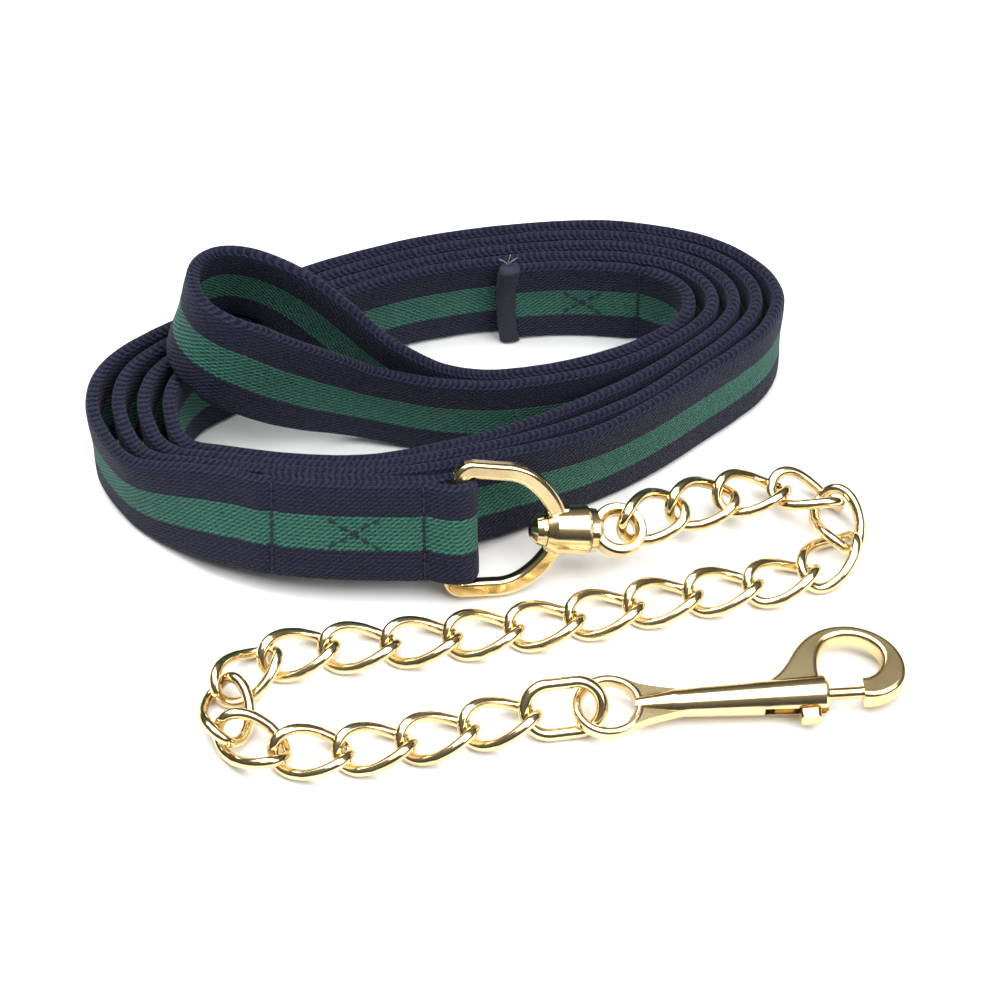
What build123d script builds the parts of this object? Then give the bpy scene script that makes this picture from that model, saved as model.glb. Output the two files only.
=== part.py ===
from build123d import *
from math import atan2, cos, degrees, pi, radians, sin
import os

# Horse lead rope: a padded web lead coiled on its edge, with a chain, a loop
# swivel at one end of the chain and a trigger snap at the other.
# Millimetres, +Z up. The web and the chain lie on the plane z = 0.

# ---------------------------------------------------------------- dimensions
WEB_WIDTH = 30.0            # the web stands on edge, so this is its height
WEB_THICK = 3.9             # one layer of cushion web
LAYER_GAP = 0.3             # clearance between separate soft solids

FOLD_BAR_R = 2.3            # swivel bar that the web is folded round
BAR_CLEARANCE = 0.05
FOLD_LENGTH = 46.0          # doubled and sewn web, from the bar to its end
FOLD_LEAN = 25.0            # the sewn end and the swivel lean back this much

LOOP_RISE = 19.0            # slope of the hand loop, lifted at its left end

WIRE_R = 1.55               # chain wire
LINK_HALF_LENGTH = 10.2     # centre line of a link, along the chain
LINK_HALF_WIDTH = 6.3       # centre line of a link, across the chain
LINK_FULLNESS = 0.22        # how much squarer than an ellipse it is
LINK_TWIST = 45.0           # each end of a link is twisted by this

RING_WIRE_R = 1.75
RING_HALF_LENGTH = 10.5
RING_HALF_WIDTH = 6.75

D_HALF_HEIGHT = 18.2        # centre line of the D, from its axis
D_WIRE = 4.8                # breadth of the D's section in its own plane
D_THICK = 4.2               # and across it
BOSS_START = 25.0           # distances along the swivel axis from the bar
BOSS_END = 37.2
BOSS_R = 7.2
STUD_R = 3.0
STUD_CLEARANCE = 0.05
STUD_HEAD_R = 4.6
EYE_AT = 47.7
EYE_R = 7.8
EYE_HOLE_R = 4.6
EYE_THICK = 4.4

SNAP_EYE_R = 9.8
SNAP_EYE_HOLE_R = 7.2
SNAP_EYE_THICK = 3.8
NECK_R = 3.8
BARREL_R = 5.3
BARREL_END = 59.0           # distances along the snap from its eye
TIP_START = 68.5
HOOK_THICK = 6.4
BOLT_R = 1.7
BOLT_CLEARANCE = 0.06
BOLT_REAR = 45.0
BOLT_NOSE = 69.6
BORE_REAR = 27.0
SLOT_WIDTH = 2.6
SLOT_START = 41.5
KNOB_AT = 53.6
KNOB_PIN_R = 1.2
SPRING_WIRE_R = 0.3
SPRING_R = 1.35
SPRING_TURNS = 9

# Centre points of things that lie on the table.
BAR_CENTRE = Vector(-9.5, -20.0, 20.8)
SWIVEL_EYE_CENTRE = Vector(35.4, -14.8, 13.5)
SNAP_EYE_CENTRE = Vector(31.5, -69.0, 5.9)
SNAP_HEADING = 4.0
RING_CENTRE = Vector(19.4, -69.9, 6.6)
RING_HEADING = 8.0
RING_ROLL = 45.0

# Centre and roll of each link, from the swivel to the end ring. The first one
# hangs on edge in the swivel's eye and the rest lie down, tipping a little in
# the chain's two bends.
CHAIN_LINKS = [
    (45.0, -8.9, 12.5, 38),
    (59.4, -1.5, 9.5, 23),
    (73.9, 3.5, 7.8, 0),
    (89.7, 4.0, 6.5, -18),
    (98.1, -4.6, 5.1, -2),
    (94.5, -17.5, 4.2, 2),
    (80.8, -24.9, 4.5, 5),
    (64.4, -28.4, 4.3, 1),
    (47.7, -32.1, 4.2, 1),
    (31.3, -36.2, 4.2, 0),
    (14.8, -40.2, 4.2, 0),
    (-2.0, -43.3, 4.2, 0),
    (-18.9, -45.9, 4.2, -1),
    (-35.8, -47.8, 4.2, -2),
    (-52.3, -50.1, 4.6, -6),
    (-66.2, -56.6, 4.4, -5),
    (-70.8, -69.4, 5.0, 0),
    (-63.4, -79.8, 5.4, 12),
    (-47.4, -82.6, 4.7, 10),
    (-30.6, -80.7, 4.2, 0),
    (-14.0, -77.2, 4.5, -1),
    (2.6, -73.2, 5.4, -1),
]

os.makedirs("parts", exist_ok=True)


def save(part, name):
    part.label = name
    export_step(part, f"parts/{name}.step")


# ------------------------------------------------------------------- the web
# Plan outlines of the coil, which is four turns of web side by side with the
# two ends of the hand loop inside the fifth at the right.
COIL_OUTSIDE = [
    (0.0, -13.5), (-35.0, -21.5), (-62.0, -21.5), (-90.0, -13.5), (-108.5, 0.0),
    (-113.0, 17.0), (-105.0, 38.0), (-84.0, 54.0), (-52.0, 72.5), (-15.0, 86.0),
    (21.0, 91.0), (50.0, 88.5), (75.0, 76.5), (86.5, 58.0), (80.0, 41.5),
    (62.0, 28.5), (40.0, 12.5), (20.0, -2.0),
]
COIL_INSIDE = [
    (-10.0, 31.5), (18.0, 33.5), (42.0, 42.5), (54.5, 59.0), (46.0, 71.0),
    (20.0, 71.5), (-15.0, 67.0), (-48.0, 55.0), (-75.0, 39.0), (-87.0, 25.0),
    (-89.0, 14.0), (-82.0, 4.5), (-62.0, -1.5), (-35.0, -1.5), (-21.0, 17.0),
]
fold_along = Vector(1, 0.03, 0).normalized()
swivel_axis = (SWIVEL_EYE_CENTRE - BAR_CENTRE).normalized()
upright = Vector(0, sin(radians(FOLD_LEAN)), cos(radians(FOLD_LEAN)))
bar_direction = (upright - swivel_axis * upright.dot(swivel_axis)).normalized()
fold_plane = Plane(origin=BAR_CENTRE, x_dir=fold_along, z_dir=bar_direction)
fold_start = fold_plane.offset(-WEB_WIDTH / 2)

with BuildPart() as web_coil:
    with BuildSketch() as coil_plan:
        with BuildLine():
            Spline(*COIL_OUTSIDE, periodic=True)
        make_face()
        with BuildLine():
            Spline(*COIL_INSIDE, periodic=True)
        make_face(mode=Mode.SUBTRACT)
    extrude(amount=WEB_WIDTH)
    # The sewn end leans against the coil's front.
    with BuildSketch(fold_plane.offset(-WEB_WIDTH)) as lean_cut:
        with Locations((-FOLD_LENGTH / 2, -10)):
            Rectangle(FOLD_LENGTH + 30, 20 + 2 * (WEB_THICK + LAYER_GAP))
        Circle(FOLD_BAR_R + WEB_THICK + LAYER_GAP)
    extrude(amount=2 * WEB_WIDTH, mode=Mode.SUBTRACT)
    with BuildSketch(Plane(origin=BAR_CENTRE - bar_direction * WEB_WIDTH, x_dir=swivel_axis,
                           z_dir=bar_direction)):
        with Locations((BOSS_START / 2, -10)):
            Rectangle(BOSS_START, 20 + D_THICK + 2 * LAYER_GAP)
    extrude(amount=2 * WEB_WIDTH, mode=Mode.SUBTRACT)
save(web_coil.part, "web_coil")

eye_of_fold_r = FOLD_BAR_R + WEB_THICK
with BuildPart() as web_chain_end:
    with BuildSketch(fold_start):
        Circle(eye_of_fold_r)
        with Locations((-FOLD_LENGTH / 2, 0)):
            Rectangle(FOLD_LENGTH, 2 * WEB_THICK)
        Circle(FOLD_BAR_R + BAR_CLEARANCE, mode=Mode.SUBTRACT)
    extrude(amount=WEB_WIDTH)
save(web_chain_end.part, "web_chain_end")

# The hand loop is a band on a sloping plane, up over the coil's left end.
loop_plane = Plane(origin=(-16.0, 27.0, 0.0), x_dir=(1, 0, 0), z_dir=(0, 0, 1)).rotated(
    (0, LOOP_RISE, 0)
)
LOOP_OUTSIDE = [
    (-10.0, -9.0), (-35.0, -6.0), (-58.0, -1.0), (-74.0, 7.0), (-80.0, 17.5), (-70.0, 26.0),
    (-54.0, 23.0), (-40.0, 15.5), (-24.0, 8.5), (-10.0, 5.0), (-3.8, 2.5), (-2.0, -2.5), (-4.4, -7.0),
]
LOOP_STEPS = 48
LOOP_SIDE = -1.0            # the outline runs clockwise
with BuildPart() as hand_loop:
    with BuildSketch(loop_plane) as loop_plan:
        with BuildLine() as loop_outside:
            Spline(*LOOP_OUTSIDE, periodic=True)
        make_face()
        outer_edge = loop_outside.edge()
        inner_points = []
        for step in range(LOOP_STEPS):
            heading = outer_edge % (step / LOOP_STEPS)
            inward = Vector(-heading.Y, heading.X, 0) * LOOP_SIDE
            inner_points.append(outer_edge @ (step / LOOP_STEPS) + inward * WEB_THICK)
        with BuildLine():
            Spline(*inner_points, periodic=True)
        make_face(mode=Mode.SUBTRACT)
    extrude(amount=WEB_WIDTH)
    # It rests on the coil's upper edges where it crosses them.
    with BuildSketch():
        add(coil_plan.sketch)
    extrude(amount=WEB_WIDTH + LAYER_GAP, mode=Mode.SUBTRACT)
save(hand_loop.part, "hand_loop")


# --------------------------------------------------------------- the swivel
swivel_plane = Plane(
    origin=BAR_CENTRE, x_dir=swivel_axis, z_dir=swivel_axis.cross(bar_direction)
)
axis_plane = Plane(origin=BAR_CENTRE, x_dir=bar_direction, z_dir=swivel_axis)

D_CORNER_R = 3.2
D_ARM_END = 13.0
with BuildPart() as swivel_d:
    # Half of the flat D, mirrored about the swivel axis.
    with BuildSketch(swivel_plane) as d_face:
        with BuildLine() as d_centre:
            bar = Line((0, 0), (0, D_HALF_HEIGHT - D_CORNER_R))
            corner = RadiusArc(bar @ 1, (D_CORNER_R, D_HALF_HEIGHT), D_CORNER_R)
            arm = Line(corner @ 1, (D_ARM_END, D_HALF_HEIGHT - 0.6))
            Spline(
                arm @ 1, (21.5, 13.8), (BOSS_START + 2.5, 6.0),
                tangents=(arm % 1, (0.45, -0.89)),
            )
        trace(line_width=D_WIRE)
        mirror(about=Plane.XZ)
        with Locations((BOSS_START + 3.0, 0)):
            Rectangle(6.0, 2 * BOSS_R)
    extrude(amount=D_THICK / 2, both=True)
    flat_sides = swivel_d.faces().filter_by(GeomType.PLANE).sort_by(Axis(BAR_CENTRE, swivel_plane.z_dir))
    fillet(flat_sides[-1].edges() + flat_sides[0].edges(), radius=1.2)
    # The bar is round where the web turns on it.
    with BuildSketch(axis_plane.offset(-D_WIRE)):
        Rectangle(2 * D_HALF_HEIGHT - D_WIRE - 0.4, 4 * D_THICK)
    extrude(amount=2 * D_WIRE, mode=Mode.SUBTRACT)
    with BuildSketch(Plane(origin=BAR_CENTRE, z_dir=bar_direction)):
        Circle(FOLD_BAR_R)
    extrude(amount=D_HALF_HEIGHT - D_WIRE / 2 + 1.0, both=True)
    # The boss that the stud turns in, widest at its outer end.
    with BuildSketch(Plane(origin=BAR_CENTRE, x_dir=swivel_axis, z_dir=bar_direction)):
        with BuildLine():
            Polyline((BOSS_START, 0), (BOSS_START, BOSS_R - 2.0), (BOSS_START + 2.5, BOSS_R - 0.6))
            Line((BOSS_START + 2.5, BOSS_R - 0.6), (BOSS_END - 1.0, BOSS_R))
            Polyline((BOSS_END - 1.0, BOSS_R), (BOSS_END, BOSS_R - 1.0), (BOSS_END, 0), (BOSS_START, 0))
        make_face()
    revolve(axis=Axis(BAR_CENTRE, swivel_axis))
    with BuildSketch(axis_plane.offset(BOSS_START - 4.0)):
        Circle(STUD_R + STUD_CLEARANCE)
    extrude(amount=BOSS_END - BOSS_START + 8.0, mode=Mode.SUBTRACT)
save(swivel_d.part, "swivel_d")

COLLAR_GAP = 0.15
COLLAR_THICK = 2.6
eye_up = Vector(0.05, -0.25, 1)
eye_face = Plane(
    origin=SWIVEL_EYE_CENTRE, x_dir=swivel_axis, z_dir=eye_up - swivel_axis * eye_up.dot(swivel_axis)
)
with BuildPart() as swivel_eye:
    # Stud, its riveted head inside the D and the collar outside the boss.
    with BuildSketch(Plane(origin=BAR_CENTRE, x_dir=swivel_axis, z_dir=bar_direction)):
        head_face = BOSS_START - COLLAR_GAP
        collar_face = BOSS_END + COLLAR_GAP
        with BuildLine():
            Polyline(
                (head_face - 4.2, 0), (head_face - 4.2, 2.2), (head_face - 2.6, STUD_HEAD_R - 0.6),
                (head_face - 1.0, STUD_HEAD_R), (head_face, STUD_HEAD_R), (head_face, STUD_R),
                (collar_face, STUD_R), (collar_face, BOSS_R - 1.0),
                (collar_face + COLLAR_THICK - 0.8, BOSS_R - 1.2),
                (collar_face + COLLAR_THICK, BOSS_R - 3.0),
                (EYE_AT - EYE_HOLE_R - 1.8, 2.0), (EYE_AT - EYE_HOLE_R - 1.8, 0),
                (head_face - 4.2, 0),
            )
        make_face()
    revolve(axis=Axis(BAR_CENTRE, swivel_axis))
    # The eye, a flat ring with bevelled rims, turned down towards the table.
    with BuildSketch(Plane(origin=SWIVEL_EYE_CENTRE, x_dir=swivel_axis, z_dir=eye_face.y_dir)):
        with BuildLine():
            Polyline(
                (EYE_HOLE_R, -EYE_THICK / 4), (EYE_HOLE_R, EYE_THICK / 4),
                (EYE_HOLE_R + 1.1, EYE_THICK / 2), (EYE_R - 0.6, EYE_THICK / 2),
                (EYE_R, EYE_THICK / 2 - 0.6), (EYE_R, 0.6 - EYE_THICK / 2),
                (EYE_R - 0.6, -EYE_THICK / 2), (EYE_HOLE_R + 1.1, -EYE_THICK / 2),
                (EYE_HOLE_R, -EYE_THICK / 4),
            )
        make_face()
    revolve(axis=Axis(SWIVEL_EYE_CENTRE, eye_face.z_dir))
save(swivel_eye.part, "swivel_eye")


# ---------------------------------------------------------------- the chain
def link_point(turn):
    """A point of a curb link's centre line: a full oval twisted along its length."""
    along = LINK_HALF_LENGTH * cos(turn)
    across = LINK_HALF_WIDTH * sin(turn) * (1 + LINK_FULLNESS * cos(turn) ** 2)
    twist = -radians(LINK_TWIST) * along / LINK_HALF_LENGTH
    return Vector(along, across * cos(twist), across * sin(twist))


HALF_LINK_STEPS = 12
half_turns = [pi / 2 + pi * i / HALF_LINK_STEPS for i in range(HALF_LINK_STEPS + 1)]
crossing = Vector(-LINK_HALF_LENGTH, 0, LINK_HALF_WIDTH * radians(LINK_TWIST))
with BuildPart() as curb_link:
    with BuildLine() as half_link:
        Spline(
            *[link_point(turn) for turn in half_turns],
            tangents=(crossing, Vector(-crossing.X, 0, crossing.Z)),
        )
    with BuildSketch(Plane(origin=half_link.line @ 0, z_dir=half_link.line % 0)):
        Circle(WIRE_R)
    sweep()
    with Locations(Location((0, 0, 0), (0, 0, 180))):
        add(curb_link.part)


def lying(origin, along, roll):
    """A plane at origin with +X along the chain, rolled about that direction."""
    level = Vector(0, 0, 1).cross(along).normalized()
    up = along.cross(level)
    tilt = radians(roll)
    return Plane(origin=origin, x_dir=along, z_dir=up * cos(tilt) - level * sin(tilt))


centres = [Vector(x, y, z) for x, y, z, roll in CHAIN_LINKS]
route = [SWIVEL_EYE_CENTRE + swivel_axis * 2.0] + centres + [RING_CENTRE]
for number, (x, y, z, roll) in enumerate(CHAIN_LINKS, start=1):
    along = (route[number + 1] - route[number - 1]).normalized()
    place = lying(Vector(x, y, z), along, roll)
    with BuildPart() as link:
        with Locations(place.location):
            add(curb_link.part)
    save(link.part, f"chain_link_{number:02d}")

ring_along = Vector(cos(radians(RING_HEADING)), sin(radians(RING_HEADING)), 0)
ring_plane = lying(RING_CENTRE, ring_along, RING_ROLL)
ring_straight = RING_HALF_LENGTH - RING_HALF_WIDTH
with BuildPart() as end_ring:
    with BuildLine(ring_plane) as oval:
        Line((-ring_straight, RING_HALF_WIDTH), (ring_straight, RING_HALF_WIDTH))
        ThreePointArc(
            (ring_straight, RING_HALF_WIDTH), (RING_HALF_LENGTH, 0), (ring_straight, -RING_HALF_WIDTH)
        )
        Line((ring_straight, -RING_HALF_WIDTH), (-ring_straight, -RING_HALF_WIDTH))
        ThreePointArc(
            (-ring_straight, -RING_HALF_WIDTH), (-RING_HALF_LENGTH, 0), (-ring_straight, RING_HALF_WIDTH)
        )
    with BuildSketch(Plane(origin=oval.wire() @ 0, z_dir=oval.wire() % 0)):
        Circle(RING_WIRE_R)
    sweep()
save(end_ring.part, "end_ring")


# ----------------------------------------------------------------- the snap
snap_along = Vector(cos(radians(SNAP_HEADING)), sin(radians(SNAP_HEADING)), 0)
snap_plane = Plane(origin=SNAP_EYE_CENTRE, x_dir=snap_along, z_dir=(0, 0, 1))
snap_axis = Axis(SNAP_EYE_CENTRE, snap_along)


def across_snap(distance):
    """A plane square to the snap's axis, its +X towards the hook's side."""
    return Plane(
        origin=SNAP_EYE_CENTRE + snap_along * distance, x_dir=snap_plane.y_dir, z_dir=snap_along
    )


HOOK_OUTSIDE = [(42.0, 3.6), (47.5, 7.6), (53.0, 15.2), (60.0, 19.9), (68.0, 20.4), (76.0, 16.6),
                (80.8, 8.5), (79.6, 1.0), (74.5, -2.8), (TIP_START, -3.2)]
HOOK_INSIDE = [(TIP_START, 3.2), (73.2, 5.2), (75.0, 10.2), (72.2, 14.8), (66.2, 17.0),
               (60.6, 15.6), (57.8, 10.8), (57.4, 4.0)]
with BuildPart() as snap_body:
    with BuildSketch(snap_plane):
        with BuildLine():
            Spline(*HOOK_OUTSIDE)
            Line(HOOK_OUTSIDE[-1], HOOK_INSIDE[0])
            Spline(*HOOK_INSIDE)
            Polyline(HOOK_INSIDE[-1], (57.4, 0), (42.0, 0), HOOK_OUTSIDE[0])
        make_face()
    extrude(amount=HOOK_THICK / 2, both=True)
    flat_faces = snap_body.faces().filter_by(Axis.Z)
    curved_edges = flat_faces.edges().filter_by(GeomType.BSPLINE)
    fillet(curved_edges, radius=1.4)
    # Barrel and neck.
    with BuildSketch(snap_plane):
        with BuildLine():
            Polyline((6.0, 0), (6.0, 2.0), (18.0, NECK_R), (BARREL_END - 1.0, BARREL_R))
            Polyline((BARREL_END - 1.0, BARREL_R), (BARREL_END, BARREL_R - 1.0), (BARREL_END, 0), (6.0, 0))
        make_face()
    revolve(axis=snap_axis)
    # Shoulders that run from the neck into the eye.
    with BuildSketch(snap_plane):
        with BuildLine():
            Spline(
                (24.0, NECK_R - 0.7), (15.0, NECK_R + 0.6), (5.0, 8.2),
                tangents=((-1, 0), (-0.75, 0.66)),
            )
            Line((5.0, 8.2), (5.0, 0))
            Line((5.0, 0), (24.0, 0))
            Line((24.0, 0), (24.0, NECK_R - 0.7))
        make_face()
        mirror(about=Plane.XZ)
    extrude(amount=SNAP_EYE_THICK / 2 - 0.3, both=True)
    with BuildSketch(snap_plane.offset(-HOOK_THICK)):
        Circle(SNAP_EYE_HOLE_R)
    extrude(amount=2 * HOOK_THICK, mode=Mode.SUBTRACT)
    # The eye is a ring of rounded section.
    with BuildSketch(Plane(origin=SNAP_EYE_CENTRE, x_dir=snap_along, z_dir=-snap_plane.y_dir)):
        with Locations(((SNAP_EYE_R + SNAP_EYE_HOLE_R) / 2, 0)):
            RectangleRounded(SNAP_EYE_R - SNAP_EYE_HOLE_R, SNAP_EYE_THICK, 1.2)
    revolve(axis=Axis(SNAP_EYE_CENTRE, (0, 0, 1)))
    # Bore for the bolt and its spring, the seat for its nose and the slot.
    with BuildSketch(across_snap(BORE_REAR)):
        Circle(BOLT_R + BOLT_CLEARANCE)
    extrude(amount=BOLT_NOSE + 0.3 - BORE_REAR, mode=Mode.SUBTRACT)
    with BuildSketch(snap_plane):
        with Locations(((SLOT_START + BARREL_END + 1.0) / 2, -BARREL_R)):
            Rectangle(BARREL_END + 1.0 - SLOT_START, 2 * BARREL_R)
    extrude(amount=SLOT_WIDTH / 2, both=True, mode=Mode.SUBTRACT)
save(snap_body.part, "snap_body")

with BuildPart() as snap_bolt:
    with BuildSketch(across_snap(BOLT_REAR)):
        Circle(BOLT_R)
    extrude(amount=BOLT_NOSE - BOLT_REAR)
    chamfer(snap_bolt.edges().sort_by(snap_axis)[-1], length=0.4)
    with BuildSketch(Plane(origin=across_snap(KNOB_AT).origin, z_dir=-snap_plane.y_dir)):
        Circle(KNOB_PIN_R)
    extrude(amount=2 * BOLT_R, mode=Mode.SUBTRACT)
save(snap_bolt.part, "snap_bolt")

KNOB_START = BARREL_R + 0.3
KNOB_HEIGHT = 2.4
with BuildPart() as thumb_knob:
    with BuildSketch(Plane(origin=across_snap(KNOB_AT).origin, z_dir=-snap_plane.y_dir)):
        Circle(KNOB_PIN_R - 0.02)
    extrude(amount=KNOB_START + 0.5)
    knob_plane = Plane(
        origin=across_snap(KNOB_AT).origin - snap_plane.y_dir * KNOB_START,
        x_dir=snap_along, z_dir=-snap_plane.y_dir,
    )
    with BuildSketch(knob_plane):
        RectangleRounded(6.0, 4.6, 1.4)
    extrude(amount=KNOB_HEIGHT, taper=8)
save(thumb_knob.part, "thumb_knob")

with BuildPart() as bolt_spring:
    spring_length = BOLT_REAR - BORE_REAR - 2 * SPRING_WIRE_R - 0.2
    spring_start = SNAP_EYE_CENTRE + snap_along * (BORE_REAR + SPRING_WIRE_R + 0.1)
    with BuildLine() as coil_line:
        Helix(
            pitch=spring_length / SPRING_TURNS, height=spring_length, radius=SPRING_R,
            center=spring_start, direction=snap_along,
        )
    with BuildSketch(Plane(origin=coil_line.line @ 0, z_dir=coil_line.line % 0)):
        Circle(SPRING_WIRE_R)
    sweep(is_frenet=True)
save(bolt_spring.part, "bolt_spring")
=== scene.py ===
import math

import bpy
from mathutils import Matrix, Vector, noise


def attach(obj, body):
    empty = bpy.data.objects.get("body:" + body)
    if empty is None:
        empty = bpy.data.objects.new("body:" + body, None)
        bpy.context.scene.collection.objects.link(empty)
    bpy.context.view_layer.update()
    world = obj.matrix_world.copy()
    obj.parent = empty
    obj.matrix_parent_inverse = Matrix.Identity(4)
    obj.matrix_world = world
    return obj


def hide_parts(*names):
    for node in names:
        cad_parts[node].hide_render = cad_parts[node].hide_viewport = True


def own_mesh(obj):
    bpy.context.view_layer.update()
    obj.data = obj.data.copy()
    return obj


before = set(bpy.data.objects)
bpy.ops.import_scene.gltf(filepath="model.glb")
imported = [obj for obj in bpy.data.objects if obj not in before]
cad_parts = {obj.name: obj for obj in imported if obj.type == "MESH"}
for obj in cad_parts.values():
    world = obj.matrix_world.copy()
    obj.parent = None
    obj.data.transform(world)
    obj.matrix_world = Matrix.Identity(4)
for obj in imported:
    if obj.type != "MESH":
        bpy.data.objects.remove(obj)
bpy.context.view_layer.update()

MM = 0.001

# ------------------------------------------------------------------ camera
# Looks along +Y and down.
PITCH = math.radians(51)
DISTANCE = 0.75
camera_data = bpy.data.cameras.new("camera")
camera_data.lens = 93.96
camera_data.sensor_width = 36
camera_data.clip_start = 0.01
camera_data.clip_end = 20
camera_data.dof.use_dof = False
camera = bpy.data.objects.new("camera", camera_data)
bpy.context.scene.collection.objects.link(camera)
target = Vector((2.5, 7, 0)) * MM
back = Vector((0, -math.cos(PITCH), math.sin(PITCH)))
camera.location = target + back * DISTANCE
camera.rotation_mode = "QUATERNION"
camera.rotation_quaternion = (-back).to_track_quat("-Z", "Y")
bpy.context.scene.camera = camera


# ------------------------------------------------------------------ helpers
def mesh_object(name, verts, faces, mats, smooth=True):
    """verts in millimetres."""
    mesh = bpy.data.meshes.new(name)
    mesh.from_pydata([tuple(Vector(v) * MM) for v in verts], [], faces)
    mesh.validate()
    for m in mats:
        mesh.materials.append(m)
    if smooth:
        mesh.polygons.foreach_set("use_smooth", [True] * len(mesh.polygons))
    obj = bpy.data.objects.new(name, mesh)
    bpy.context.scene.collection.objects.link(obj)
    return obj


def catmull(points, step):
    """A smooth line through points of any dimension, resampled every step mm of its first three."""
    dense = []
    n = len(points)
    for i in range(n - 1):
        p0 = points[max(i - 1, 0)]
        p1, p2 = points[i], points[i + 1]
        p3 = points[min(i + 2, n - 1)]
        # Centripetal spacing keeps short and long spans even.
        k0 = 0.0
        k1 = k0 + max(math.dist(p0[:3], p1[:3]), 1e-3) ** 0.5
        k2 = k1 + max(math.dist(p1[:3], p2[:3]), 1e-3) ** 0.5
        k3 = k2 + max(math.dist(p2[:3], p3[:3]), 1e-3) ** 0.5
        for s in range(12):
            k = k1 + (k2 - k1) * s / 12
            q = []
            for a, b, c, d in zip(p0, p1, p2, p3):
                e = ((k1 - k) * a + (k - k0) * b) / (k1 - k0)
                f = ((k2 - k) * b + (k - k1) * c) / (k2 - k1)
                g = ((k3 - k) * c + (k - k2) * d) / (k3 - k2)
                h = ((k2 - k) * e + (k - k0) * f) / (k2 - k0)
                m = ((k3 - k) * f + (k - k1) * g) / (k3 - k1)
                q.append(((k2 - k) * h + (k - k1) * m) / (k2 - k1))
            dense.append(q)
    dense.append(list(points[-1]))
    lengths = [0.0]
    for a, b in zip(dense, dense[1:]):
        lengths.append(lengths[-1] + math.dist(a[:3], b[:3]))
    count = max(2, round(lengths[-1] / step))
    out = []
    j = 0
    for i in range(count + 1):
        want = lengths[-1] * i / count
        while j < len(dense) - 2 and lengths[j + 1] < want:
            j += 1
        t = (want - lengths[j]) / max(lengths[j + 1] - lengths[j], 1e-9)
        out.append([a + (b - a) * t for a, b in zip(dense[j], dense[j + 1])])
    return out


def smooth_rows(rows, passes):
    """Evens out the line's kinks, its two ends held."""
    for _ in range(passes):
        rows = [rows[0]] + [
            [(a + 2 * b + c) / 4 for a, b, c in zip(rows[i - 1], rows[i], rows[i + 1])]
            for i in range(1, len(rows) - 1)
        ] + [rows[-1]]
    return rows


# ---------------------------------------------------------------- the web
# Middle line of the web: x, y, z of its mid-width in mm, and how far its upper
# edge leans inwards, in degrees. Strand 0 starts at the swivel's bar.
WEB_WIDTH = 30.0
WEB_THICK = 3.7
SHIFT = Vector((2.5, 7, 0))

FRONT = {  # across the front, right to left
    0: [(-12, -27, 20.8, 25), (-22, -26.9, 20.7, 25), (-35, -26.7, 20.5, 25), (-50, -26, 20.3, 25),
        (-64, -24.2, 19.8, 24), (-80, -20.2, 18.6, 21)],
    1: [(-3, -11.5, 16, 12), (-28, -19.6, 17.6, 20), (-52, -20.4, 17.8, 23), (-79, -16, 16.6, 19)],
    2: [(-3, -7, 15.6, 10), (-29, -15.9, 16.6, 20), (-52, -17, 16.6, 23), (-77.5, -12.6, 15.8, 17)],
    3: [(-3, -2.6, 15.2, 9), (-30, -12, 15.4, 18), (-52, -13.6, 15.4, 21), (-76, -9.2, 15.2, 15)],
}
OUTER = [(-102, -10), (-112.4, 3.5), (-115, 13), (-113.4, 23.5), (-107.6, 31.4), (-93.5, 41.8), (-75, 53), (-55, 64),
         (-36, 71.5), (-17, 77), (0, 80), (18, 82), (38, 81.6), (59, 76.3), (71.5, 69.2), (79, 60.5), (81.2, 52)]
INNER = [(-87.5, -3), (-92, 7), (-93.2, 14), (-91.5, 21.5), (-87, 27.5), (-80, 32.4), (-67.5, 41.6),
         (-49.5, 52.6), (-31.6, 59.8), (-13.8, 64.9), (1.8, 67.6), (18.6, 69.3), (35, 69.2), (50, 65.6),
         (57.6, 60.8), (61.4, 55.4), (62, 50)]
RIGHT = {
    0: [(80, 46.5), (76, 38.8), (67.8, 30.8), (57.5, 22.4), (43.5, 10.9), (23, -1.2)],
    1: [(73.8, 46.5), (70, 40.6), (63.2, 32.9), (52, 23.2), (40, 14), (20, 3)],
    2: [(67.4, 46.5), (64, 41.2), (57, 34.4), (46.4, 25.8), (34.4, 17.4), (16, 7.4)],
    3: [(61, 46.4), (57.8, 42), (51.4, 36.2), (41.6, 29.8), (27.6, 23.4), (11, 19.4)],
}
TURNS = 4
line = []
for turn in range(TURNS):
    line += FRONT[turn]
    share = turn / (TURNS - 1)
    for (x0, y0), (x1, y1) in zip(OUTER, INNER):
        line.append((x0 + (x1 - x0) * share, y0 + (y1 - y0) * share, 15, 0))
    line += [(x, y, 15, 2) for x, y in RIGHT[turn]]
LOOP = [
    (-4, 18, 15, 0), (-16, 18.8, 15, 0), (-30, 21, 15.8, 0), (-43, 22.2, 18.5, 0), (-53, 20.6, 23.5, 2),
    (-62, 18.4, 30, 5), (-71, 16.8, 37, 8), (-78.5, 16.4, 42.6, 12), (-85.6, 20.8, 44.8, 17), (-89.2, 29.4, 45.3, 18),
    (-87.6, 38.2, 45.5, 14), (-80.6, 43.2, 45.4, 9), (-71.8, 42.8, 45.2, 5),
    (-63.6, 40.2, 43.6, 2), (-54, 36.6, 38.4, 0),
    (-44, 32.2, 31, 0), (-33, 27, 23.8, 0), (-20, 23.4, 17.8, 0), (-7, 22.2, 15.2, 0), (9, 23.6, 15, 0),
    (24, 27.4, 15, 0), (38.6, 33.2, 15, 0), (48, 39.6, 15, 0), (54.2, 46.6, 15, 0), (55, 53.6, 15, 0),
    (50.6, 59.4, 15, 0), (43, 63, 15, 0), (30, 65, 15, 0), (16, 65.2, 15, 0), (1, 63.4, 15, 0),
]
line += LOOP
rows = smooth_rows(catmull(line, 1.5), 4)


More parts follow.
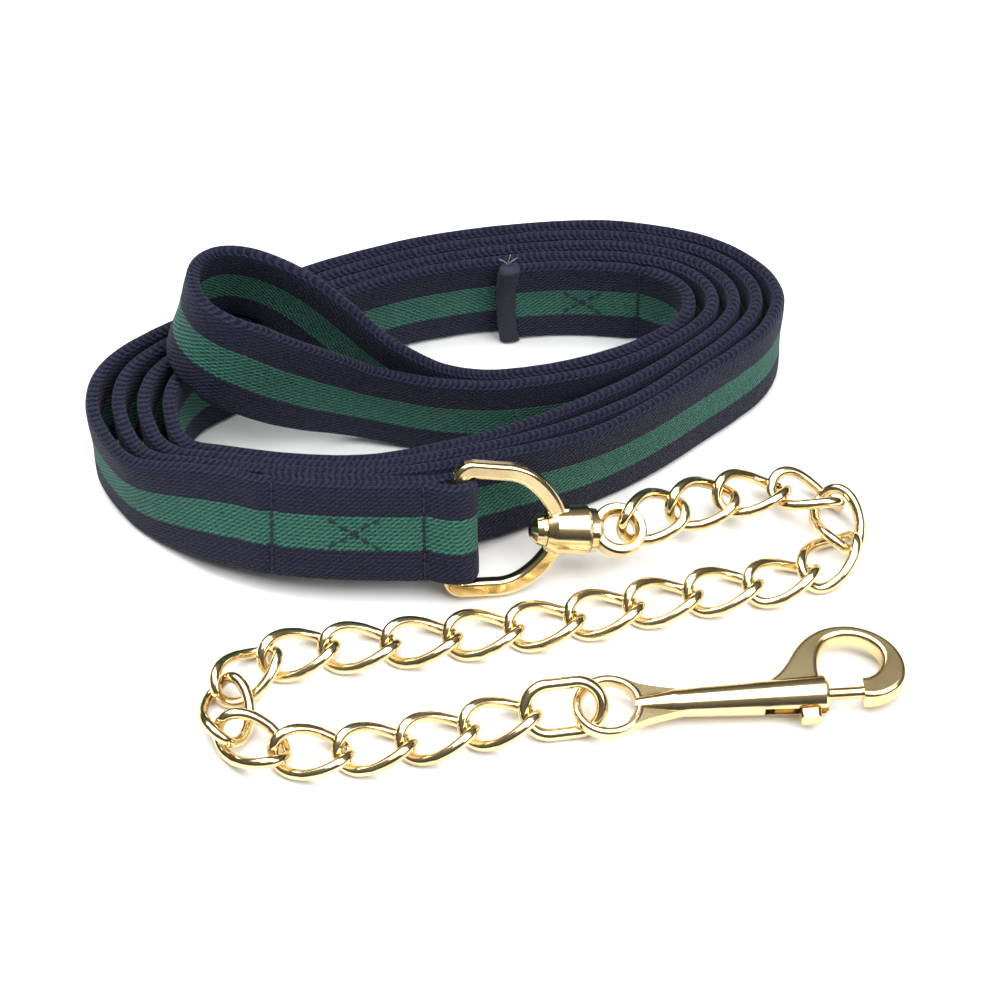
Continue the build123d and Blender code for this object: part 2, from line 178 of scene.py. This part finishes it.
def frames(rows):
    """(centre, along, across the thickness, up the width) for each row. Across points to the strand's right."""
    out = []
    n = len(rows)
    for i, row in enumerate(rows):
        p = Vector(row[:3]) + SHIFT
        t = (Vector(rows[min(i + 1, n - 1)][:3]) - Vector(rows[max(i - 1, 0)][:3])).normalized()
        up = Vector((0, 0, 1))
        up = (up - t * up.dot(t)).normalized()
        # Every strand runs clockwise seen from above, so the inside is on its right.
        inward = t.cross(up).normalized()
        lean = math.radians(row[3])
        u = (up * math.cos(lean) + inward * math.sin(lean)).normalized()
        out.append((p, t, t.cross(u).normalized(), u))
    return out


def wavy(framed):
    """The web laid a little unevenly: it sways across its thickness and lifts, but never sinks."""
    out = []
    run = 0.0
    for i, (p, t, n, u) in enumerate(framed):
        if i:
            run += (p - framed[i - 1][0]).length
        amount = smoothstep(5, 40, run)
        sway = noise.noise(Vector((run * 0.045, 3.1, 0))) * 0.32 + noise.noise(Vector((run * 0.16, 8.7, 0))) * 0.12
        lift = (noise.noise(Vector((run * 0.04, 21.3, 0))) + 1) * 0.28
        out.append((p + (n * sway + u * lift) * amount, t, n, u))
    return out


def smoothstep(a, b, x):
    t = min(max((x - a) / (b - a), 0), 1)
    return t * t * (3 - 2 * t)


# The web's start is folded round the swivel's bar, and its flap is sewn to the
# inner side. Up to there the middle line is the plane between the two layers,
# and it starts on the bar's axis. The first length run takes the bar's lean.
BAR_UP = Vector((0.0951, 0.4356, 0.8951)).normalized()
BAR_RADIUS = 2.3
BAR_WRAP_R = BAR_RADIUS + WEB_THICK / 2 + 0.02
FLAP_LENGTH = 53.0
LEAN_LENGTH = 45.0        # run over which the web turns from the bar's lean to its own
LEAN_END = 70.0


def folded_start(framed):
    outer, flap = [], []
    run = 0.0
    for i, (p, t, n, u) in enumerate(framed):
        if i:
            run += (p - framed[i - 1][0]).length
        if run < LEAN_END:
            u = BAR_UP.lerp(u, smoothstep(0, LEAN_LENGTH, run)).normalized()
            u = (u - t * u.dot(t)).normalized()
            n = t.cross(u)
        away = BAR_WRAP_R + (WEB_THICK / 2 + 0.05 - BAR_WRAP_R) * smoothstep(0.5, 8, run)
        if run < FLAP_LENGTH:
            flap.append((p + n * away, -t, -n, u))
        away *= 1 - smoothstep(FLAP_LENGTH - 1, FLAP_LENGTH + 9, run)
        outer.append((p - n * away, t, n, u))
    p, t, n, u = framed[0]
    u = (BAR_UP - t * BAR_UP.dot(t)).normalized()
    n = t.cross(u)
    wrap = []
    for i in range(1, 14):
        a = math.pi * i / 14
        across = n * math.cos(a) - t * math.sin(a)
        wrap.append((p + across * BAR_WRAP_R, (-n * math.sin(a) - t * math.cos(a)).normalized(), -across, u))
    return list(reversed(flap)) + wrap + outer


def padding(v, flat):
    """How full the web is at height v: sunk a little in its middle stripe, padded towards both edges."""
    x = abs(v) / flat
    return 0.9 + 0.19 * math.sin(math.pi * min(x, 1) * 0.62) ** 2


def section(half_width, half_thick, per_face=13, per_edge=6):
    """The web's section: padded faces and round edges. (across, up) going round once."""
    points = []
    flat = half_width - half_thick
    edge = half_thick * padding(flat, flat)
    for side in (1, -1):
        for i in range(per_face):
            v = side * (-flat + 2 * flat * i / (per_face - 1))
            points.append((side * half_thick * padding(v, flat), v))
        for i in range(1, per_edge + 1):
            a = math.pi * i / (per_edge + 1)
            points.append((side * edge * math.cos(a), side * (flat + half_thick * math.sin(a))))
    return points


PINCH_DEPTH = 0.56         # share of the thickness that a seam draws in
PINCH_WIDTH = 1.5


def strip(name, framed, mats, pinches=()):
    """A length of web swept along framed and drawn in at pinches, which are lengths run. Its UV map holds the
    length run (u) and the height up the web (v), in mm."""
    ring = section(WEB_WIDTH / 2, WEB_THICK / 2)
    k = len(ring)
    verts, uv = [], []
    run = 0.0
    for i, (p, t, n, u) in enumerate(framed):
        if i:
            run += (p - framed[i - 1][0]).length
        squeeze = 1 - sum(PINCH_DEPTH * math.exp(-(((run - r) / PINCH_WIDTH) ** 2)) for r in pinches)
        for a, v in ring:
            verts.append(p + n * a * squeeze + u * v)
            uv.append((run, v))
    faces = []
    for i in range(len(framed) - 1):
        for j in range(k):
            a, b = i * k + j, i * k + (j + 1) % k
            faces.append((a, b, b + k, a + k))
    # Both ends are closed with a shallow cap.
    for i, sign in ((0, -1), (len(framed) - 1, 1)):
        p, t, n, u = framed[i]
        first = len(verts)
        for a, v in ring:
            verts.append(p + t * sign * WEB_THICK * 0.3 + n * a * 0.55 + u * v * 0.985)
            uv.append((run * (i > 0) + sign, v))
        for j in range(k):
            a, b = i * k + j, i * k + (j + 1) % k
            c, d = first + j, first + (j + 1) % k
            faces.append((b, a, c, d) if sign < 0 else (a, b, d, c))
        faces.append([first + j for j in (range(k) if sign > 0 else reversed(range(k)))])
    obj = mesh_object(name, verts, faces, mats)
    layer = obj.data.uv_layers.new(name="web")
    for loop in obj.data.loops:
        layer.data[loop.index].uv = uv[loop.vertex_index]
    return obj


# --------------------------------------------------------------- materials
def material(name):
    m = bpy.data.materials.new(name)
    m.use_nodes = True
    nodes = m.node_tree.nodes
    shader = nodes["Principled BSDF"]
    return m, nodes, m.node_tree.links, shader


def math_node(nodes, links, operation, a, b=None, c=None):
    node = nodes.new("ShaderNodeMath")
    node.operation = operation
    for socket, value in zip(node.inputs, (a, b, c)):
        if value is None:
            continue
        if isinstance(value, (int, float)):
            socket.default_value = value
        else:
            links.new(value, socket)
    return node.outputs[0]


NAVY = (0.0028, 0.0032, 0.0105, 1)
NAVY_LIGHT = (0.021, 0.023, 0.058, 1)
GREEN = (0.006, 0.044, 0.034, 1)
GREEN_LIGHT = (0.056, 0.215, 0.158, 1)
STRIPE_HALF = 5.2


def web_material():
    m, nodes, links, shader = material("web")
    uv = nodes.new("ShaderNodeUVMap")
    uv.uv_map = "web"
    split = nodes.new("ShaderNodeSeparateXYZ")
    links.new(uv.outputs[0], split.inputs[0])
    run, up = split.outputs[0], split.outputs[1]
    # Slightly uneven stripe edges.
    ripple = nodes.new("ShaderNodeTexNoise")
    ripple.inputs["Scale"].default_value = 1.5
    ripple.inputs["Detail"].default_value = 2
    links.new(uv.outputs[0], ripple.inputs["Vector"])
    wobble = math_node(nodes, links, "MULTIPLY_ADD", ripple.outputs[0], 1.3, -0.65)
    height = math_node(nodes, links, "ABSOLUTE", math_node(nodes, links, "ADD", up, wobble))
    in_stripe = math_node(nodes, links, "LESS_THAN", height, STRIPE_HALF)
    # Twill: fine diagonal ribs of thread, crossed by the picks.
    diagonal = math_node(nodes, links, "MULTIPLY_ADD", run, 3.4, math_node(nodes, links, "MULTIPLY", up, 4.2))
    uneven = math_node(nodes, links, "MULTIPLY_ADD", ripple.outputs[0], 5.5, diagonal)
    rib = math_node(nodes, links, "SINE", uneven)
    cross = math_node(nodes, links, "SINE", math_node(nodes, links, "MULTIPLY", up, 5.4))
    weave = math_node(nodes, links, "MULTIPLY_ADD", cross, 0.6, rib)
    fuzz = nodes.new("ShaderNodeTexNoise")
    fuzz.inputs["Scale"].default_value = 1.9
    fuzz.inputs["Detail"].default_value = 6
    links.new(uv.outputs[0], fuzz.inputs["Vector"])
    tone = math_node(nodes, links, "MULTIPLY_ADD", weave, 0.36, fuzz.outputs[0])
    navy = nodes.new("ShaderNodeMix")
    navy.data_type = "RGBA"
    navy.inputs["A"].default_value = NAVY
    navy.inputs["B"].default_value = NAVY_LIGHT
    links.new(tone, navy.inputs["Factor"])
    green = nodes.new("ShaderNodeMix")
    green.data_type = "RGBA"
    green.inputs["A"].default_value = GREEN
    green.inputs["B"].default_value = GREEN_LIGHT
    links.new(tone, green.inputs["Factor"])
    both = nodes.new("ShaderNodeMix")
    both.data_type = "RGBA"
    links.new(in_stripe, both.inputs["Factor"])
    links.new(navy.outputs["Result"], both.inputs["A"])
    links.new(green.outputs["Result"], both.inputs["B"])
    links.new(both.outputs["Result"], shader.inputs["Base Color"])
    bump = nodes.new("ShaderNodeBump")
    bump.inputs["Strength"].default_value = 1.0
    bump.inputs["Distance"].default_value = 0.0005
    links.new(tone, bump.inputs["Height"])
    links.new(bump.outputs[0], shader.inputs["Normal"])
    shader.inputs["Roughness"].default_value = 0.78
    shader.inputs["Sheen Weight"].default_value = 0.06
    shader.inputs["Sheen Roughness"].default_value = 0.4
    shader.inputs["Specular IOR Level"].default_value = 0.18
    return m


def brass_material(name, colour, dark, roughness, scale):
    m, nodes, links, shader = material(name)
    place = nodes.new("ShaderNodeNewGeometry")
    noise = nodes.new("ShaderNodeTexNoise")
    noise.inputs["Scale"].default_value = scale
    noise.inputs["Detail"].default_value = 3
    links.new(place.outputs["Position"], noise.inputs["Vector"])
    mix = nodes.new("ShaderNodeMix")
    mix.data_type = "RGBA"
    mix.inputs["A"].default_value = dark
    mix.inputs["B"].default_value = colour
    ramp = nodes.new("ShaderNodeMapRange")
    ramp.inputs["From Min"].default_value = 0.3
    ramp.inputs["From Max"].default_value = 0.55
    links.new(noise.outputs[0], ramp.inputs["Value"])
    links.new(ramp.outputs[0], mix.inputs["Factor"])
    links.new(mix.outputs["Result"], shader.inputs["Base Color"])
    shader.inputs["Metallic"].default_value = 1.0
    shader.inputs["Roughness"].default_value = roughness
    bump = nodes.new("ShaderNodeBump")
    bump.inputs["Strength"].default_value = 0.12
    bump.inputs["Distance"].default_value = 0.0004
    links.new(noise.outputs[0], bump.inputs["Height"])
    links.new(bump.outputs[0], shader.inputs["Normal"])
    return m


def plain_material(name, colour, roughness):
    m, nodes, links, shader = material(name)
    shader.inputs["Base Color"].default_value = colour
    shader.inputs["Roughness"].default_value = roughness
    return m


def grained_material(name, dark, light, roughness, scale, metallic=0.0):
    """A finish that varies between two colours in small grains, and is as uneven to the touch."""
    m, nodes, links, shader = material(name)
    place = nodes.new("ShaderNodeNewGeometry")
    grain = nodes.new("ShaderNodeTexNoise")
    grain.inputs["Scale"].default_value = scale
    grain.inputs["Detail"].default_value = 5
    links.new(place.outputs["Position"], grain.inputs["Vector"])
    mix = nodes.new("ShaderNodeMix")
    mix.data_type = "RGBA"
    mix.inputs["A"].default_value = dark
    mix.inputs["B"].default_value = light
    links.new(grain.outputs[0], mix.inputs["Factor"])
    links.new(mix.outputs["Result"], shader.inputs["Base Color"])
    bump = nodes.new("ShaderNodeBump")
    bump.inputs["Strength"].default_value = 0.7
    bump.inputs["Distance"].default_value = 0.0004
    links.new(grain.outputs[0], bump.inputs["Height"])
    links.new(bump.outputs[0], shader.inputs["Normal"])
    shader.inputs["Roughness"].default_value = roughness
    shader.inputs["Metallic"].default_value = metallic
    return m


web_cloth = web_material()
cast_brass = brass_material("cast_brass", (0.84, 0.67, 0.37, 1), (0.66, 0.49, 0.24, 1), 0.17, 70)
chain_brass = brass_material("chain_brass", (0.84, 0.69, 0.40, 1), (0.66, 0.51, 0.27, 1), 0.15, 90)
spring_steel = grained_material("spring_steel", (0.38, 0.38, 0.38, 1), (0.6, 0.6, 0.59, 1), 0.35, 900, 1.0)
thread_navy = grained_material("thread_navy", (0.003, 0.004, 0.011, 1), (0.014, 0.016, 0.036, 1), 0.8, 1600)
thread_pale = grained_material("thread_pale", (0.16, 0.18, 0.19, 1), (0.36, 0.38, 0.38, 1), 0.85, 1600)
navy_cloth = grained_material("navy_cloth", (0.0025, 0.003, 0.008, 1), (0.02, 0.023, 0.05, 1), 0.85, 1100)

# ------------------------------------------------------------ build the web
framed = folded_start(wavy(frames(rows)))
runs = [0.0]
for a, b in zip(framed, framed[1:]):
    runs.append(runs[-1] + (b[0] - a[0]).length)
total = runs[-1]


def on_face(run, v, side, lift=0.1):
    """A point on one face of the web, side +1 or -1 across its thickness."""
    i = max(k for k in range(len(runs) - 1) if runs[k] <= run)
    t = (run - runs[i]) / max(runs[i + 1] - runs[i], 1e-6)
    (p0, _, n0, u0), (p1, _, n1, u1) = framed[i], framed[i + 1]
    p, n, u = p0.lerp(p1, t), n0.lerp(n1, t), u0.lerp(u1, t)
    return p + n * side * (WEB_THICK / 2 + lift) + u * v


WRAP = math.pi * BAR_WRAP_R
OUTER_START = FLAP_LENGTH + WRAP          # length run where the outer layer leaves the bar
NEAR_SEAM = OUTER_START + 8.6
FAR_SEAM = OUTER_START + 50.5
END_SEAM = total - 40.5
web = strip("web", framed, [web_cloth], pinches=(NEAR_SEAM, FAR_SEAM, END_SEAM))
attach(web, "web")
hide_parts("web_coil", "web_chain_end", "hand_loop")


def tubes(name, paths, radius, mat, body="web", sides=6):
    """One mesh of round threads or wires, each swept along a path of points in mm."""
    verts, faces = [], []
    for path in paths:
        first = len(verts)
        for i, p in enumerate(path):
            t = (path[min(i + 1, len(path) - 1)] - path[max(i - 1, 0)]).normalized()
            a = t.cross(Vector((0.31, 0.52, 0.8))).normalized()
            b = t.cross(a)
            ends = 0.45 if i in (0, len(path) - 1) else 1.0
            for k in range(sides):
                c = 2 * math.pi * k / sides
                verts.append(p + (a * math.cos(c) + b * math.sin(c)) * radius * ends)
        for i in range(len(path) - 1):
            for k in range(sides):
                q, r = first + i * sides + k, first + i * sides + (k + 1) % sides
                faces.append((q, r, r + sides, q + sides))
        faces.append([first + k for k in reversed(range(sides))])
        faces.append([len(verts) - sides + k for k in range(sides)])
    obj = mesh_object(name, verts, faces, [mat])
    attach(obj, body)
    return obj


def dashes(run0, v0, run1, v1, side, stitch=2.3, gap=0.7, lift=0.0):
    """Stitches in a straight line over the web's face, each a little arch."""
    length = math.hypot(run1 - run0, v1 - v0)
    count = max(1, int(length / (stitch + gap)))
    found = []
    for i in range(count):
        a = i / count
        b = a + stitch / (stitch + gap) / count
        path = []
        for k in range(5):
            t = a + (b - a) * k / 4
            arch = 0.12 * math.sin(math.pi * k / 4)
            path.append(on_face(run0 + (run1 - run0) * t, v0 + (v1 - v0) * t, side, lift + arch))
        found.append(path)
    return found


# Seams across the web at both sewn ends, each with a cross in the green stripe.
# The side seen from outside the coil's front, and from inside its back, is -across.
SEAM_SINK = -0.85
seams = []
for run in (NEAR_SEAM, FAR_SEAM, END_SEAM):
    seams += dashes(run, -14, run, 14, -1, gap=0.35, lift=SEAM_SINK)
seams += dashes(END_SEAM, -14, END_SEAM, 14, 1, gap=0.35, lift=SEAM_SINK)
for start, length, half in ((OUTER_START + 20.5, 15, 4.8), (total - 29.5, 12, 4.6)):
    for a in (-half, half):
        seams += dashes(start, a, start + length, -a, -1, lift=-0.15)
stitching = tubes("stitching", seams, 0.42, thread_navy)

# The far end is turned under, which makes a thick dark edge with loose threads.
p, t, n, u = framed[-1]
hem_rows = [(p - t * 4.6, t, n, u), (p - t * 3.6, t, n, u), (p - t * 1.5, t, n, u), (p + t * 0.2, t, n, u),
            (p + t * 0.9, t, n, u)]
hem_verts, hem_faces = [], []
hem_ring = section(WEB_WIDTH / 2 + 0.25, 1.0, per_face=21)
for (q, _, across, up), thick in zip(hem_rows, (1.9, 2.35, 2.5, 2.2, 1.3)):
    for a, v in hem_ring:
        bow = 1.5 * (1 - (v / 15.5) ** 2) + 0.5 * noise.noise(Vector((v * 0.35, 5.5, thick)))
        hem_verts.append(q + t * bow + across * (a * thick - 0.6) + up * v)
k = len(hem_ring)
for i in range(len(hem_rows) - 1):
    for j in range(k):
        a, b = i * k + j, i * k + (j + 1) % k
        hem_faces.append((a, b, b + k, a + k))
hem_faces.append(list(reversed(range(k))))
hem_faces.append([len(hem_verts) - k + j for j in range(k)])
hem = mesh_object("turned_end", hem_verts, hem_faces, [navy_cloth])
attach(hem, "web")
frayed = []
for up_at, out, rise in ((14.8, -0.8, 4.2), (14.6, 2.6, 3.0), (14.9, -2.8, 2.4), (-14.2, 3.2, 0.4)):
    base = p - t * 1.5 + u * up_at + n * 0.6
    frayed.append([base + (t * out + n * 0.4) * (f * f) + u * rise * f for f in (0, 0.25, 0.5, 0.75, 1)])
fray = tubes("loose_threads", frayed, 0.16, thread_pale)

# ------------------------------------------------------- the bolt's spring
# It stands on the bore's end and shortens as the bolt is drawn back.
SPRING_SEAT = Vector((58.434, -67.117, 5.9))
SPRING_AXIS = Vector((0.997564, 0.069756, 0.0))
SPRING_LENGTH = 17.4
SPRING_RADIUS = 1.35
SPRING_WIRE = 0.3
SPRING_TURNS = 9
across_axis = SPRING_AXIS.cross(Vector((0, 0, 1))).normalized()
coil = []
for i in range(SPRING_TURNS * 20 + 1):
    share = i / (SPRING_TURNS * 20)
    a = 2 * math.pi * SPRING_TURNS * share
    along = SPRING_WIRE + (SPRING_LENGTH - 2 * SPRING_WIRE) * share
    coil.append(SPRING_SEAT + SPRING_AXIS * along
                + (across_axis * math.cos(a) + Vector((0, 0, 1)) * math.sin(a)) * SPRING_RADIUS)
spring = tubes("spring_coil", [coil], SPRING_WIRE, spring_steel, "snap", sides=8)
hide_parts("bolt_spring")
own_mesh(spring)

# ----------------------------------------------------------- metal finishes
for name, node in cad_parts.items():
    if name.startswith("chain_link") or name == "end_ring":
        finish_material = chain_brass
    elif name.startswith(("swivel", "snap", "thumb")):
        finish_material = cast_brass
    else:
        continue
    for held in node.material_slots:
        held.material = finish_material

# ------------------------------------------------------------ floor, lights
HALF_FLOOR = 9000
FLOOR_Z = -0.05
FLOOR_CORNERS = [(x * HALF_FLOOR, y * HALF_FLOOR, FLOOR_Z) for x, y in ((-1, -1), (1, -1), (1, 1), (-1, 1))]
floor = mesh_object("floor", FLOOR_CORNERS,
                    [(0, 1, 2, 3)], [plain_material("paper", (0.9, 0.9, 0.9, 1), 0.9)], False)


def softbox(name, place, aim, size, power):
    data = bpy.data.lights.new(name, "AREA")
    data.shape = "RECTANGLE"
    data.size, data.size_y = size
    data.energy = power
    obj = bpy.data.objects.new(name, data)
    bpy.context.scene.collection.objects.link(obj)
    obj.location = place
    obj.rotation_mode = "QUATERNION"
    obj.rotation_quaternion = (Vector(aim) - Vector(place)).to_track_quat("-Z", "Y")


softbox("key", (-0.5, 0.5, 1.1), (0, 0, 0), (0.9, 0.9), 12)
softbox("fill", (0.8, -0.5, 1.0), (0, 0, 0), (0.8, 0.8), 10)
# A very wide soft light overhead keeps the floor evenly pale as far as it goes.
overhead_data = bpy.data.lights.new("overhead", "SUN")
overhead_data.energy = 3.3
overhead_data.angle = math.radians(60)
overhead = bpy.data.objects.new("overhead", overhead_data)
bpy.context.scene.collection.objects.link(overhead)
world = bpy.data.worlds.new("studio")
world.use_nodes = True
room = world.node_tree
background = room.nodes["Background"]
background.inputs[0].default_value = (1, 1, 1, 1)
direction = room.nodes.new("ShaderNodeTexCoord")
parts = room.nodes.new("ShaderNodeSeparateXYZ")
brightness = room.nodes.new("ShaderNodeMapRange")
brightness.inputs["From Min"].default_value = 0.1
brightness.inputs["From Max"].default_value = 1.0
brightness.inputs["To Min"].default_value = 0.03
brightness.inputs["To Max"].default_value = 0.26
room.links.new(direction.outputs["Generated"], parts.inputs[0])
room.links.new(parts.outputs[2], brightness.inputs["Value"])
room.links.new(brightness.outputs[0], background.inputs[1])
bpy.context.scene.world = world
bpy.context.scene.view_settings.view_transform = "Standard"
